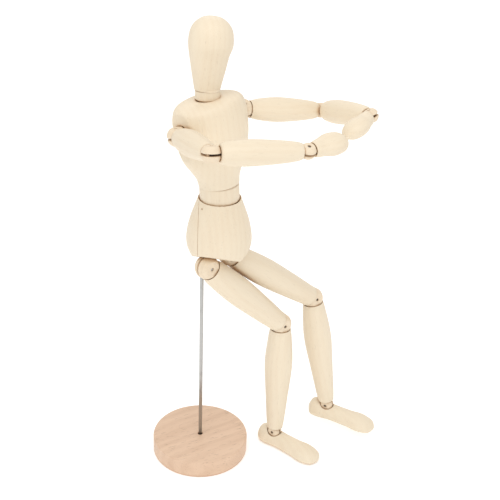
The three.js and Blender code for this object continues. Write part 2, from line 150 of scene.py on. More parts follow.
def frame_of(origin, z_axis, x_hint):
    """A placing matrix with its Z on z_axis and its X as near x_hint as it can be."""
    z = z_axis.normalized()
    y = z.cross(x_hint).normalized()
    x = y.cross(z)
    return Matrix.Translation(origin) @ Matrix((x, y, z)).transposed().to_4x4()


def smoothstep(value, low, high):
    t = min(max((value - low) / (high - low), 0), 1)
    return t * t * (3 - 2 * t)


def spline(points, steps):
    """Catmull-Rom points through the given ones, steps to each stretch."""
    line = []
    last = len(points) - 1
    for k in range(last):
        p0, p1, p2, p3 = (np.array(points[min(max(i, 0), last)], float) for i in range(k - 1, k + 3))
        for i in range(steps):
            t = i / steps
            v0, v1 = (p2 - p0) / 2, (p3 - p1) / 2
            cubic = 2 * p1 - 2 * p2 + v0 + v1
            square = -3 * p1 + 3 * p2 - 2 * v0 - v1
            line.append(cubic * t**3 + square * t**2 + v0 * t + p1)
    line.append(np.array(points[-1], float))
    return [(max(float(r), 0.0), float(z)) for r, z in line]


def arc(radius, centre_z, start, end, steps):
    """Points (radius from the axis, height) on a circle about the axis; angles in degrees from +Z."""
    line = []
    for i in range(steps + 1):
        a = math.radians(start + (end - start) * i / steps)
        line.append((radius * math.sin(a), centre_z + radius * math.cos(a)))
    return line


def rounded_corner(before, corner, after, radius, steps=4):
    """Points of a small round that takes the place of a profile's corner."""
    corner = np.array(corner, float)
    ways = []
    for end in (before, after):
        way = np.array(end, float) - corner
        length = np.linalg.norm(way)
        ways.append(corner + way / length * min(radius, 0.45 * length))
    line = []
    for i in range(steps + 1):
        t = i / steps
        line.append(tuple((1 - t) ** 2 * ways[0] + 2 * t * (1 - t) * corner + t**2 * ways[1]))
    return line


# ---------- meshes ----------


def mesh_object(name, verts, faces):
    """A smooth mesh object from millimetre points."""
    mesh = bpy.data.meshes.new(name)
    mesh.from_pydata([tuple(c * MM for c in v) for v in verts], [], faces)
    mesh.validate()
    mesh.update()
    mesh.polygons.foreach_set("use_smooth", [True] * len(mesh.polygons))
    piece = bpy.data.objects.new(name, mesh)
    bpy.context.scene.collection.objects.link(piece)
    return piece


def turned(profile, closed, steps=ROUND, deform=None):
    """Points and faces of a profile turned about Z. A closed profile is a ring, and an open one
    starts and ends on the axis. deform moves each point of it, given its place in the profile."""
    verts, faces = [], []
    rows = []
    for k, (r, z) in enumerate(profile):
        on_axis = r < 1e-6
        row = []
        for i in range(1 if on_axis else steps):
            a = 2 * math.pi * i / steps
            point = (r * math.cos(a), r * math.sin(a), z)
            verts.append(deform(point, k) if deform else point)
            row.append(len(verts) - 1)
        rows.append(row)
    pairs = list(zip(rows, rows[1:] + rows[:1])) if closed else list(zip(rows, rows[1:]))
    for low, high in pairs:
        for i in range(steps):
            j = (i + 1) % steps
            if len(low) == 1 and len(high) == 1:
                continue
            if len(low) == 1:
                faces.append((low[0], high[j], high[i]))
            elif len(high) == 1:
                faces.append((low[i], low[j], high[0]))
            else:
                faces.append((low[i], low[j], high[j], high[i]))
    return verts, faces


def outward(piece):
    """Turns the faces of a closed mesh outwards."""
    bm = bmesh.new()
    bm.from_mesh(piece.data)
    bmesh.ops.recalc_face_normals(bm, faces=bm.faces)
    bm.to_mesh(piece.data)
    bm.free()
    return piece


def turned_piece(name, profile, closed, steps=ROUND, deform=None):
    return outward(mesh_object(name, *turned(profile, closed, steps, deform)))


def applied(piece):
    """The piece with its modifiers made part of its mesh."""
    graph = bpy.context.evaluated_depsgraph_get()
    mesh = bpy.data.meshes.new_from_object(piece.evaluated_get(graph))
    old = piece.data
    piece.modifiers.clear()
    piece.data = mesh
    bpy.data.meshes.remove(old)
    mesh.polygons.foreach_set("use_smooth", [True] * len(mesh.polygons))
    return piece


def cut(piece, *tools):
    """Cuts the tools' shapes out of the piece and drops the tools."""
    for tool in tools:
        modifier = piece.modifiers.new("cut", "BOOLEAN")
        modifier.operation = "DIFFERENCE"
        modifier.solver = "EXACT"
        modifier.object = tool
    applied(piece)
    for tool in tools:
        bpy.data.objects.remove(tool)
    return piece


def softened(piece, voxel, passes):
    """Rounds every edge a little, as sanding does."""
    remesh = piece.modifiers.new("remesh", "REMESH")
    remesh.mode = "VOXEL"
    remesh.voxel_size = voxel * MM
    smooth = piece.modifiers.new("smooth", "SMOOTH")
    smooth.iterations = passes
    smooth.factor = 0.5
    return applied(piece)


def ball_tool(radius, centre):
    """A ball to cut with."""
    profile = arc(radius, 0, 0, 180, 48)
    profile[0], profile[-1] = (0, radius), (0, -radius)
    tool = turned_piece("tool", profile, False, 96)
    tool.location = Vector(centre) * MM
    bpy.context.view_layer.update()
    return tool


def rod_tool(radius, bottom, top, matrix=None):
    """A drill along Z."""
    tool = turned_piece("tool", [(0, bottom), (radius, bottom), (radius, top), (0, top)], False, 40)
    if matrix:
        tool.matrix_world = matrix
    bpy.context.view_layer.update()
    return tool


def block_tool(low, high, matrix):
    """A block to saw with."""
    verts = [(x, y, z) for x in (low[0], high[0]) for y in (low[1], high[1]) for z in (low[2], high[2])]
    faces = [(0, 1, 3, 2), (4, 6, 7, 5), (0, 4, 5, 1), (2, 3, 7, 6), (0, 2, 6, 4), (1, 5, 7, 3)]
    tool = outward(mesh_object("tool", verts, faces))
    tool.matrix_world = matrix
    bpy.context.view_layer.update()
    return tool


def finish_piece(piece, name, matrix, body, look, *nodes):
    """Places a piece, gives it its wood or steel, ties it to its body and hides the CAD nodes it takes
    the place of.
    """
    piece.name = name
    grain = piece.data.attributes.new("grain", "FLOAT_VECTOR", "POINT")
    grain.data.foreach_set("vector", [c for v in piece.data.vertices for c in v.co])
    piece.data.transform(matrix)
    piece.data.update()
    piece.data.materials.clear()
    piece.data.materials.append(MATERIALS[look])
    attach(piece, body)
    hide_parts(*nodes)
    return piece


# ---------- materials ----------


def node(tree, kind, **inputs):
    """A shader node with its plain settings; an input given as a socket is linked."""
    made = tree.nodes.new(kind)
    for key, value in inputs.items():
        if isinstance(value, bpy.types.NodeSocket):
            tree.links.new(value, made.inputs[key])
        elif key in made.inputs:
            made.inputs[key].default_value = value
        else:
            setattr(made, key, value)
    return made


def value_ramp(tree, factor, low, high):
    """0 below low, 1 above high."""
    ramp = node(tree, "ShaderNodeMapRange", Value=factor, interpolation_type="SMOOTHSTEP")
    ramp.inputs["From Min"].default_value = low
    ramp.inputs["From Max"].default_value = high
    return ramp.outputs["Result"]


def mixed(tree, factor, first, second, blend="MIX"):
    """A colour mix of two colours or sockets."""
    mix = node(tree, "ShaderNodeMix", data_type="RGBA", blend_type=blend)
    for socket, given in zip((mix.inputs[0], mix.inputs[6], mix.inputs[7]), (factor, first, second)):
        if isinstance(given, bpy.types.NodeSocket):
            tree.links.new(given, socket)
        else:
            socket.default_value = given
    return mix.outputs[2]


def maths(tree, operation, first, second):
    made = node(tree, "ShaderNodeMath", operation=operation)
    for socket, given in zip(made.inputs, (first, second)):
        if isinstance(given, bpy.types.NodeSocket):
            tree.links.new(given, socket)
        else:
            socket.default_value = given
    return made.outputs[0]


def grain_coordinates(tree, stretch, tilt):
    """Each piece's own coordinates, shifted for each piece and stretched along the grain."""
    place = node(tree, "ShaderNodeAttribute", attribute_name="grain").outputs["Vector"]
    chance = node(tree, "ShaderNodeObjectInfo").outputs["Random"]
    shift = node(
        tree, "ShaderNodeCombineXYZ", X=maths(tree, "MULTIPLY", chance, 0.37),
        Y=maths(tree, "MULTIPLY", chance, 0.61), Z=maths(tree, "MULTIPLY", chance, 0.93),
    )
    moved = node(tree, "ShaderNodeVectorMath", operation="ADD")
    tree.links.new(place, moved.inputs[0])
    tree.links.new(shift.outputs[0], moved.inputs[1])
    mapping = node(tree, "ShaderNodeMapping", Vector=moved.outputs[0])
    mapping.inputs["Rotation"].default_value = tilt
    mapping.inputs["Scale"].default_value = stretch
    return mapping.outputs[0]


def wood(name, pale, deep, stretch, tilt, contrast, fleck, gloss, ring_share):
    """Bare sanded wood: soft growth rings, fine fibres and short pores, with painted shade in its
    corners and where parts meet. The grain is stretched and tilted by stretch and tilt, and gloss is the
    least roughness."""
    material = bpy.data.materials.new(name)
    material.use_nodes = True
    tree = material.node_tree
    shader = tree.nodes["Principled BSDF"]
    grain = grain_coordinates(tree, stretch, tilt)
    fibres = node(tree, "ShaderNodeTexNoise", Vector=grain, Scale=1500.0, Detail=5.0, Roughness=0.65)
    fibres = fibres.outputs["Fac"]
    cloud = node(tree, "ShaderNodeTexNoise", Vector=grain, Scale=90.0, Detail=2.0).outputs["Fac"]
    rings = node(tree, "ShaderNodeTexWave", Vector=grain, Scale=95.0, Distortion=5.0, Detail=2.0,
                 wave_type="BANDS", bands_direction="X")
    rings.inputs["Detail Scale"].default_value = 0.6
    rings = value_ramp(tree, rings.outputs["Fac"], 0.1, 1.0)
    pores = node(tree, "ShaderNodeTexNoise", Vector=grain, Scale=2600.0, Detail=1.0).outputs["Fac"]
    pores = value_ramp(tree, pores, 0.66, 0.74)

    tone = maths(tree, "MULTIPLY", rings, ring_share)
    tone = maths(tree, "ADD", tone, maths(tree, "MULTIPLY", fibres, 0.5))
    tone = maths(tree, "ADD", tone, maths(tree, "MULTIPLY", cloud, 0.55))
    tone = maths(tree, "MULTIPLY", value_ramp(tree, tone, 0.35, 1.15), contrast)
    colour = mixed(tree, tone, (*pale, 1), (*deep, 1))
    colour = mixed(tree, maths(tree, "MULTIPLY", pores, fleck), colour, (*[c * 0.55 for c in deep], 1))
    # Painted shade: ambient occlusion darkens and warms the colour in corners, creases and between
    # parts.
    painted_shade_ao = node(tree, "ShaderNodeAmbientOcclusion", Distance=3.2 * MM, samples=8).outputs["AO"]
    painted_shade_colour = mixed(tree, value_ramp(tree, painted_shade_ao, 0.15, 0.95), (0.76, 0.60, 0.46, 1), (1, 1, 1, 1))
    colour = mixed(tree, 1.0, colour, painted_shade_colour, "MULTIPLY")
    edges = value_ramp(tree, node(tree, "ShaderNodeNewGeometry").outputs["Pointiness"], 0.53, 0.62)
    colour = mixed(tree, maths(tree, "MULTIPLY", edges, 0.35), colour, (*[c * 0.82 for c in pale], 1))

    height = maths(tree, "SUBTRACT", fibres, maths(tree, "MULTIPLY", pores, 0.6))
    bump = node(tree, "ShaderNodeBump", Height=height, Strength=0.22, Distance=0.05 * MM)
    rough = maths(tree, "ADD", maths(tree, "MULTIPLY", fibres, 0.16), gloss)
    tree.links.new(colour, shader.inputs["Base Color"])
    tree.links.new(rough, shader.inputs["Roughness"])
    tree.links.new(bump.outputs[0], shader.inputs["Normal"])
    shader.inputs["Specular IOR Level"].default_value = 0.32
    return material


def steel(name, base, rough):
    """Drawn steel with fine lengthwise streaks and a little tarnish."""
    material = bpy.data.materials.new(name)
    material.use_nodes = True
    tree = material.node_tree
    shader = tree.nodes["Principled BSDF"]
    along = grain_coordinates(tree, (1, 1, 0.03), (0, 0, 0))
    streaks = node(tree, "ShaderNodeTexNoise", Vector=along, Scale=5000.0, Detail=3.0).outputs["Fac"]
    spots = node(tree, "ShaderNodeTexNoise", Vector=grain_coordinates(tree, (1, 1, 0.4), (0, 0, 0)),
                 Scale=420.0, Detail=4.0).outputs["Fac"]
    tarnish = value_ramp(tree, spots, 0.5, 0.75)
    stained = (*[c * 0.6 for c in base], 1)
    colour = mixed(tree, maths(tree, "MULTIPLY", tarnish, 0.45), (*base, 1), stained)
    tree.links.new(colour, shader.inputs["Base Color"])
    streaky = maths(tree, "MULTIPLY", streaks, 0.18)
    level = maths(tree, "ADD", streaky, maths(tree, "MULTIPLY", tarnish, 0.1))
    tree.links.new(maths(tree, "ADD", level, rough), shader.inputs["Roughness"])
    bump = node(tree, "ShaderNodeBump", Height=streaks, Strength=0.12, Distance=0.02 * MM)
    tree.links.new(bump.outputs[0], shader.inputs["Normal"])
    shader.inputs["Metallic"].default_value = 1.0
    return material


ALONG_X = (0.06, 1.3, 1.3)
ALONG_Z = (1.0, 1.0, 0.07)
MATERIALS = {
    "figure_wood": wood(
        "figure_wood", (0.80, 0.70, 0.545), (0.70, 0.55, 0.38), ALONG_Z, (0.05, 0.09, 0.4),
        contrast=0.5, fleck=0.2, gloss=0.42, ring_share=0.12,
    ),
    "ball_wood": wood(
        "ball_wood", (0.79, 0.67, 0.51), (0.67, 0.50, 0.33), ALONG_Z, (0.5, 0.3, 0.2),
        contrast=0.55, fleck=0.25, gloss=0.42, ring_share=0.12,
    ),
    "base_wood": wood(
        "base_wood", (0.735, 0.535, 0.39), (0.54, 0.35, 0.23), ALONG_X, (0, 0, 0.35),
        contrast=0.75, fleck=0.8, gloss=0.4, ring_share=0.14,
    ),
    "steel": steel("steel", (0.45, 0.45, 0.44), 0.22),
    "pin_steel": steel("pin_steel", (0.13, 0.11, 0.095), 0.5),
    "spring_steel": steel("spring_steel", (0.34, 0.34, 0.36), 0.3),
}

# ---------- joint hardware ----------


def half_ball(joint, side):
    """Half of a joint ball beside its kerf, turned about the pin: a ring with a pin hole."""
    r, half, hole = joint["r"], joint["half"], PIN_R + PIN_PLAY
    inner = KERF / 2
    cheek = math.sqrt(r**2 - half**2)
    start = math.degrees(math.acos(inner / r))
    end = math.degrees(math.acos(half / r))
    round_part = arc(r, 0, start, end, 18)
    profile = [(hole, inner), (round_part[0][0] - 0.25, inner)]
    profile += round_part[1:-1]
    profile += rounded_corner(round_part[-2], (cheek, half), (cheek - 1, half), 0.5)
    profile += [(cheek * 0.6, half), (hole + 0.15, half), (hole, half - 0.15)]
    verts, faces = turned(profile, True, 72)
    return [(side * z, x, y) for x, y, z in verts], faces


def ball(name, joint):
    """A ball with flat cheeks on X, sawn across X, with the web that joins its halves on +Y."""
    verts, faces = half_ball(joint, 1)
    more, more_faces = half_ball(joint, -1)
    faces += [tuple(i + len(verts) for i in face) for face in more_faces]
    verts += more
    inner = EYE_R + 2 * WIRE_R
    outer = max(inner + 0.9, joint["r"] - 2.2)
    half = joint["r"] / 2
    start = len(verts)
    reach = KERF / 2 + 0.05
    verts += [(x, y, z) for x in (-reach, reach) for y in (inner, outer) for z in (-half, half)]
    box = [(0, 1, 3, 2), (4, 6, 7, 5), (0, 4, 5, 1), (2, 3, 7, 6), (0, 2, 6, 4), (1, 5, 7, 3)]
    faces += [tuple(i + start for i in face) for face in box]
    return outward(mesh_object(name, verts, faces))


def pin(name, joint):
    """A steel pin on X that ends just inside the cheeks."""
    half = joint["half"] - 0.4
    profile = [(0, -half), (PIN_R - 0.12, -half), (PIN_R, -half + 0.12), (PIN_R, half - 0.12),
               (PIN_R - 0.12, half), (0, half)]
    verts, faces = turned(profile, False, 24)
    return outward(mesh_object(name, [(z, x, y) for x, y, z in verts], faces))


def wire_piece(name, points, radius=WIRE_R):
    """A round wire through the points, with closed ends."""
    curve = bpy.data.curves.new(name, "CURVE")
    curve.dimensions = "3D"
    curve.bevel_depth = radius * MM
    curve.bevel_resolution = 3
    curve.use_fill_caps = True
    line = curve.splines.new("POLY")
    line.points.add(len(points) - 1)
    for place, point in zip(line.points, points):
        place.co = (*(c * MM for c in point), 1)
    helper = bpy.data.objects.new(name, curve)
    bpy.context.scene.collection.objects.link(helper)
    graph = bpy.context.evaluated_depsgraph_get()
    mesh = bpy.data.meshes.new_from_object(helper.evaluated_get(graph))
    bpy.data.objects.remove(helper)
    mesh.polygons.foreach_set("use_smooth", [True] * len(mesh.polygons))
    piece = bpy.data.objects.new(name, mesh)
    bpy.context.scene.collection.objects.link(piece)
    return piece


def eye(joint, side):
    """Points of an eye round a pin at the origin that leaves along +Z."""
    points = []
    for i in range(25):
        a = math.radians(55 - 270 * i / 24)
        points.append((side, EYE_R * math.cos(a), EYE_R * math.sin(a)))
    points.append((side, -0.3, EYE_R + 0.6))
    points.append((side, -0.3, joint["r"] + 0.6))
    return points


def coil(start, end):
    """Points of a close coil along Z."""
    turns = max(3, round((end - start) / (2.3 * WIRE_R)))
    steps = 20
    points = []
    for i in range(turns * steps + 1):
        a = 2 * math.pi * i / steps
        height = start + (end - start) * i / (turns * steps)
        points.append((COIL_R * math.cos(a), COIL_R * math.sin(a), height))
    return points


# ---------- wooden pieces ----------


def near_end(joint, end_radius):
    """The socket at z = 0 and its lip, from the bore outwards."""
    socket = joint["r"] + GAP
    lip = math.degrees(math.acos(joint["lip"]))
    inside = arc(socket, 0, math.degrees(math.asin(BORE_R / socket)), lip, 12)
    height = joint["lip"] * socket
    outside = (end_radius + 0.5, height + 1)
    rim = rounded_corner((inside[-1][0], height), (end_radius, height), outside, 0.28)
    return inside[:-1] + [(inside[-1][0] + 0.08, height)] + rim


def limb(name, near, far, length, shape):
    """A turned limb: one ring of profile that runs out of a socket, down the outside, and back."""
    start, end = shape["ends"]
    near_lip = near["lip"] * (near["r"] + GAP)
    far_lip = length - far["lip"] * (far["r"] + GAP)
    stations = [(r, share * length) for share, r in shape["stations"]]
    outline = [(start, near_lip)] + stations + [(end, far_lip)]
    outline = [(r * SLIM, z) for r, z in outline]
    outside = spline(outline, 14)[2:-2]
    far_side = [(r, length - z) for r, z in reversed(near_end(far, end * SLIM))]
    return turned_piece(name, near_end(near, start * SLIM) + outside + far_side, True)


def hand(name):
    """A mitten of a hand, round at the wrist and flattened across X."""
    near = near_end(WRIST, HAND_END)
    lip = WRIST["lip"] * (WRIST["r"] + GAP)
    outside = spline([(HAND_END, lip)] + [(r * SLIM, z) for r, z in HAND_STATIONS], 16)[2:]
    profile = [(0, HAND_BORE), (BORE_R, HAND_BORE)] + near + outside + [(0, HAND_STATIONS[-1][1])]
    first = 2 + len(near) - 3

    def flatten(point, k):
        x, y, z = point
        share = 1 + (HAND_FLAT - 1) * smoothstep(z, lip, 9) if k >= first else 1
        return (x * share, y, z)

    return turned_piece(name, profile, False, ROUND, flatten)


def foot(name):
    """A foot with its toes on -Y and its flat sole below the ankle ball."""
    outline = spline([(r * SLIM, z) for r, z in FOOT_STATIONS], 10)
    profile = [(0, outline[0][1])] + outline + [(0, outline[-1][1])]
    verts, faces = turned(profile, False, ROUND)
    shaped = []
    for x, y, z in verts:
        along, up = z, -y
        thickness = 1.15 + (0.62 - 1.15) * min(max(along / 30, 0), 1)
        axis = -5.2 + (-7.4 + 5.2) * min(max((along + 6) / 36, 0), 1)
        shaped.append((x, -along, up * thickness + axis))
    piece = outward(mesh_object(name, shaped, faces))
    below = block_tool((-30, -60, -40), (30, 60, -FOOT_SOLE), Matrix.Identity(4))
    socket = ball_tool(ANKLE["r"] + GAP, (0, 0, 0))
    bore = rod_tool(BORE_R, -FOOT_SOLE + 1.6, 0)
    return softened(cut(piece, below, socket, bore), FOOT_VOXEL, 3)


def dish(drum, gap=SEAT_GAP):
    """The radius of the seat of a drum's dome, and how far the dome's centre is from its rim."""
    return drum["dome"] + gap, math.sqrt(drum["dome"] ** 2 - drum["rim"] ** 2)


def drum_piece(name, drum):
    """A drum with domed ends and a bore."""
    dome, rise = dish(drum, 0)
    rim_angle = math.degrees(math.asin(drum["rim"] / dome))
    bore_angle = math.degrees(math.asin(drum["bore"] / dome))
    top = arc(dome, drum["height"] - rise, bore_angle, rim_angle, 14)
    wall_top = rounded_corner(top[-2], top[-1], (drum["rim"], drum["height"] - 1), 0.35)
    half = top[:-1] + wall_top
    other = [(r, drum["height"] - z) for r, z in reversed(half)]
    return turned_piece(name, half + other, True)


def chest(name):
    """Round at the waist, wide and flat at the shoulders, with domed seats below and above."""
    low_dish, low_rise = dish(WAIST)
    high_dish, high_rise = dish(NECK)
    low_edge = math.degrees(math.asin((CHEST_STATIONS[0][0] - 0.25) / low_dish))
    low = arc(low_dish, -low_rise, math.degrees(math.asin(CHEST_BORE / low_dish)), low_edge, 14)
    high_edge = math.degrees(math.asin((NECK["rim"] + 0.15) / high_dish))
    high = arc(high_dish, 0, high_edge, math.degrees(math.asin(CHEST_BORE / high_dish)), 10)
    high = [(r, CHEST_H + high_rise - z) for r, z in high]
    outline = spline(CHEST_STATIONS, 14)
    first, last = len(low), len(low) + len(outline)

    def shape(point, k):
        x, y, z = point
        if first <= k < last:
            flat = smoothstep(z, 2, 22)
            x *= 1 + CHEST_WIDEN * flat
            y *= 1 - CHEST_FLATTEN * flat
        return (x, y, z)

    piece = turned_piece(name, low + outline + high, True, 160, shape)
    tools = []
    for side in (-1, 1):
        reach = Matrix.Translation((side * (CHEST_SIDE + 10) * MM, 0, 0))
        tools.append(block_tool((-10, -40, -10), (10, 40, 70), reach))
        tools.append(ball_tool(SHOULDER["r"] + GAP, (side * SHOULDER_SPREAD, 0, SHOULDER_H)))
    across = Matrix.Translation((0, 0, SHOULDER_H * MM)) @ Matrix.Rotation(math.radians(90), 4, "Y")
    tools.append(rod_tool(BORE_R, -SHOULDER_SPREAD, SHOULDER_SPREAD, across))
    return softened(cut(piece, *tools), TORSO_VOXEL, 4)


def pelvis(name):
    """The turned pelvis, hollowed for the waist, with slanting cuts and sockets for the hips."""
    seat, rise = dish(WAIST)
    rim = PELVIS_STATIONS[-1][0]
    edge = math.degrees(math.asin((rim - 0.25) / seat))
    bore, depth = PELVIS_BORE
    top = arc(seat, 0, edge, math.degrees(math.asin(bore / seat)), 14)
    top = [(r, PELVIS_H + rise - z) for r, z in top]
    outline = spline(PELVIS_STATIONS, 16)
    bottom = PELVIS_H - depth
    profile = [(0, 0)] + outline + top + [(bore, bottom), (0, bottom)]
    piece = turned_piece(name, profile, False, 160)
    tools = hip_tools()
    rod_place = PELVIS_FRAME.inverted() @ Vector((0, 0, PELVIS_FRAME.translation.z))
    tools.append(rod_tool(ROD_HOLE_R, -20, ROD_DEPTH, Matrix.Translation(rod_place)))
    piece = softened(cut(piece, *tools), TORSO_VOXEL, 10)
    dot = Matrix.Translation(Vector(PIN_DOT) * MM) @ Matrix.Rotation(math.radians(PIN_DOT_TURN), 4, "Z")
    dot = dot @ Matrix.Rotation(math.radians(90), 4, "Y")
    return cut(piece, rod_tool(PIN_DOT_R, -1, 6, dot), glue_line_tool(outline))


def hip_tools():
    """The saw cut, the ball socket and the spring's drill hole of each hip."""
    tools = []
    for side in (-1, 1):
        hip = Vector((side * HIP_SPREAD, 0, HIP_DROP))
        slope = Matrix.Rotation(math.radians(-side * HIP_CUT), 4, "Y")
        start = Matrix.Translation((side * CROTCH_HALF * MM, 0, 0))
        lean = Matrix.Rotation(math.radians(-HIP_LEAN), 4, "X")
        inner, outer = sorted((-side * CROTCH_HALF, side * 60))
        tools.append(block_tool((inner, -40, -30), (outer, 40, 0), start @ slope @ lean))
        tools.append(ball_tool(HIP["r"] + GAP, hip))
        tools.append(rod_tool(BORE_R, 0, 15, Matrix.Translation(hip * MM) @ slope))
    return tools


def glue_line_tool(outline):
    """A hairline groove where the board of the pelvis was glued up: a thin upright sheet, off the
    middle, that follows the turned outline on the near side."""
    verts, faces = [], []
    rows = [(r, z) for r, z in outline if GLUE_OFF + 0.6 < r and 1 < z < PELVIS_H - 0.3]
    for r, z in rows:
        reach = math.sqrt(r**2 - GLUE_OFF**2)
        for across, out in ((-0.1, -0.3), (0.1, -0.3), (0.1, 1), (-0.1, 1)):
            verts.append((-GLUE_OFF + across, -(reach + out), z))
    for k in range(len(rows) - 1):
        for i in range(4):
            j = (i + 1) % 4
            faces.append((4 * k + i, 4 * k + j, 4 * k + 4 + j, 4 * k + 4 + i))
    last = 4 * (len(rows) - 1)
    faces += [(3, 2, 1, 0), (last, last + 1, last + 2, last + 3)]
    tool = outward(mesh_object("tool", verts, faces))
    tool.matrix_world = Matrix.Rotation(math.radians(GLUE_TURN), 4, "Z")
    bpy.context.view_layer.update()
    return tool


def head(name):
    """A plain egg, a little flatter in front, with a domed seat for the neck."""
    seat, rise = dish(NECK)
    bore, depth = HEAD_BORE
    edge = math.degrees(math.asin((HEAD_STATIONS[0][0] - 0.25) / seat))
    low = arc(seat, -rise, math.degrees(math.asin(bore / seat)), edge, 10)
    outline = spline(HEAD_STATIONS, 16)
    profile = [(0, depth), (bore, depth)] + low + outline + [(0, HEAD_H)]
    first = 2 + len(low)

    def face(point, k):
        x, y, z = point
        if k >= first and y < 0:
            y *= 1 - FACE_FLAT * (1 - smoothstep(z, 17, 25))
        return (x, y, z)

    return turned_piece(name, profile, False, ROUND, face)


def base(name):
    """A flat disc with eased edges and the rod's hole."""
    outline = [(0, 0)]
    outline += rounded_corner((20, 0), (BASE_R, 0), (BASE_R, 5), BASE_EDGE, 8)
    outline += [(BASE_R, BASE_H * share) for share in (0.3, 0.5, 0.7)]
    outline += rounded_corner((BASE_R, 5), (BASE_R, BASE_H), (20, BASE_H), BASE_EDGE, 8)
    outline += [(r, BASE_H) for r in (24, 16, 8, 3)]
    outline += rounded_corner((3, BASE_H), (ROD_HOLE_R, BASE_H), (ROD_HOLE_R, 5), 0.25)
    outline += [(ROD_HOLE_R, ROD_BOTTOM - 0.3), (0, ROD_BOTTOM - 0.3)]
    return turned_piece(name, outline, False, 192)


def rod(name):
    """The steel rod, with eased edges."""
    profile = [(0, ROD_BOTTOM), (ROD_R - 0.2, ROD_BOTTOM), (ROD_R, ROD_BOTTOM + 0.2)]
    profile += [(ROD_R, ROD_TOP - 0.6), (ROD_R - 0.5, ROD_TOP), (0, ROD_TOP)]
    return turned_piece(name, profile, False, 48)


# ---------- the torso ----------

UP = Vector((0, 0, 1))
hips = [joint_point(f"{side}_hip_swing") for side in ("right", "left")]
shoulders = [joint_point(f"{side}_shoulder_swing") for side in ("right", "left")]
HIP_SPREAD = (hips[1] - hips[0]).length / 2 / MM
SHOULDER_SPREAD = (shoulders[1] - shoulders[0]).length / 2 / MM
hips_middle = (hips[0] + hips[1]) / 2
PELVIS_FRAME = frame_of(hips_middle - UP * HIP_DROP * MM, UP, hips[1] - hips[0])

chest_up = joint_axis("neck_turn")
if chest_up.z < 0:
    chest_up = -chest_up
shoulders_middle = (shoulders[0] + shoulders[1]) / 2
chest_foot = shoulders_middle - chest_up * SHOULDER_H * MM
CHEST_FRAME = frame_of(chest_foot, chest_up, shoulders[1] - shoulders[0])


def level_axis(name, like):
    """A joint's axis, pointing the way of another direction."""
    axis = joint_axis(name)
    return axis if axis.dot(like) > 0 else -axis


across_waist = level_axis("chest_bend", hips[1] - hips[0])
back_waist = level_axis("waist_tilt", UP.cross(across_waist))
waist_up = across_waist.cross(back_waist)
waist_seat = joint_point("waist_tilt") - waist_up * dish(WAIST)[1] * MM
WAIST_FRAME = frame_of(waist_seat, waist_up, across_waist)

across_neck = level_axis("head_nod", shoulders[1] - shoulders[0])
neck_seat = joint_point("neck_turn")
neck_up = (neck_seat - joint_point("head_nod")).normalized()
NECK_FRAME = frame_of(neck_seat, neck_up, across_neck)
head_seat = neck_seat + neck_up * NECK["height"] * MM


def far_tip(node_name, origin):
    """The middle of the points of a CAD node that lie farthest from an origin."""
    points = [v.co for v in frame["nodes"][node_name].data.vertices]
    reach = max((p - origin).length for p in points)
    far = [p for p in points if (p - origin).length > reach - 0.15 * MM]
    return sum(far, Vector()) / len(far)


HEAD_FRAME = frame_of(head_seat, far_tip("head", head_seat) - head_seat, across_neck)

finish_piece(base("base"), "base", Matrix.Identity(4), "stand", "base_wood", "base_disc")
finish_piece(rod("steel_rod"), "steel_rod", Matrix.Identity(4), "rod", "steel", "rod")
finish_piece(pelvis("pelvis_wood"), "pelvis_wood", PELVIS_FRAME, "pelvis", "figure_wood", "pelvis")
finish_piece(drum_piece("waist_wood", WAIST), "waist_wood", WAIST_FRAME, "waist", "figure_wood", "waist")
finish_piece(chest("chest_wood"), "chest_wood", CHEST_FRAME, "chest", "figure_wood", "chest")
finish_piece(drum_piece("neck_wood", NECK), "neck_wood", NECK_FRAME, "neck", "figure_wood", "neck")
finish_piece(head("head_wood"), "head_wood", HEAD_FRAME, "head", "figure_wood", "head")

# ---------- limbs ----------


def add_ball(name, joint, origin, before, pin_axis):
    """A joint ball and its pin; the length before it on Z and the pin on X."""
    place = frame_of(origin, before, pin_axis)
    finish_piece(ball(name, joint), f"{name}_wood", place, name, "ball_wood", name)
    node_name = name.replace("_ball", "_pin")
    look = "steel" if joint is HIP else "pin_steel"
    finish_piece(pin(node_name, joint), f"{node_name}_steel", place, name, look, node_name)


def add_spring(node_name, body, joint, place, start, end, side):
    """The coil of a spring and the eye it starts with, on one body."""
    piece = wire_piece(node_name, eye(joint, side) + coil(start, end))
    finish_piece(piece, f"{node_name}_wire", place, body, "spring_steel", node_name)


def add_far_eye(node_name, body, joint, place, side):
    """The eye at a limb spring's far end, which stays with the next ball."""
    piece = wire_piece(f"{node_name}_eye", eye(joint, side))
    finish_piece(piece, f"{node_name}_eye", place, body, "spring_steel", node_name)


def sole_up(node_name):
    """Which way is up from a foot's sole, the largest flat of its node."""
    areas = {}
    for face in frame["nodes"][node_name].data.polygons:
        key = tuple(round(c, 2) for c in face.normal)
        total, area = areas.get(key, (Vector(), 0))
        areas[key] = (total + face.normal * face.area, area + face.area)
    total, _ = max(areas.values(), key=lambda item: item[1])
    return -total.normalized()


def add_limb(side, part, near, far, start, stop, pin_axis):
    """A limb from one joint to the next, with its spring."""
    limb_name, shape = part
    name = f"{side}_{limb_name}"
    length = (stop - start).length / MM
    place = frame_of(start, (stop - start).normalized(), pin_axis)
    piece = limb(name, near, far, length, shape)
    finish_piece(piece, f"{name}_wood", place, name, "figure_wood", name)
    low, high = (length * share for share in COIL_SPAN)
    add_spring(f"{name}_spring", name, near, place, low, high, -EYE_SIDE)


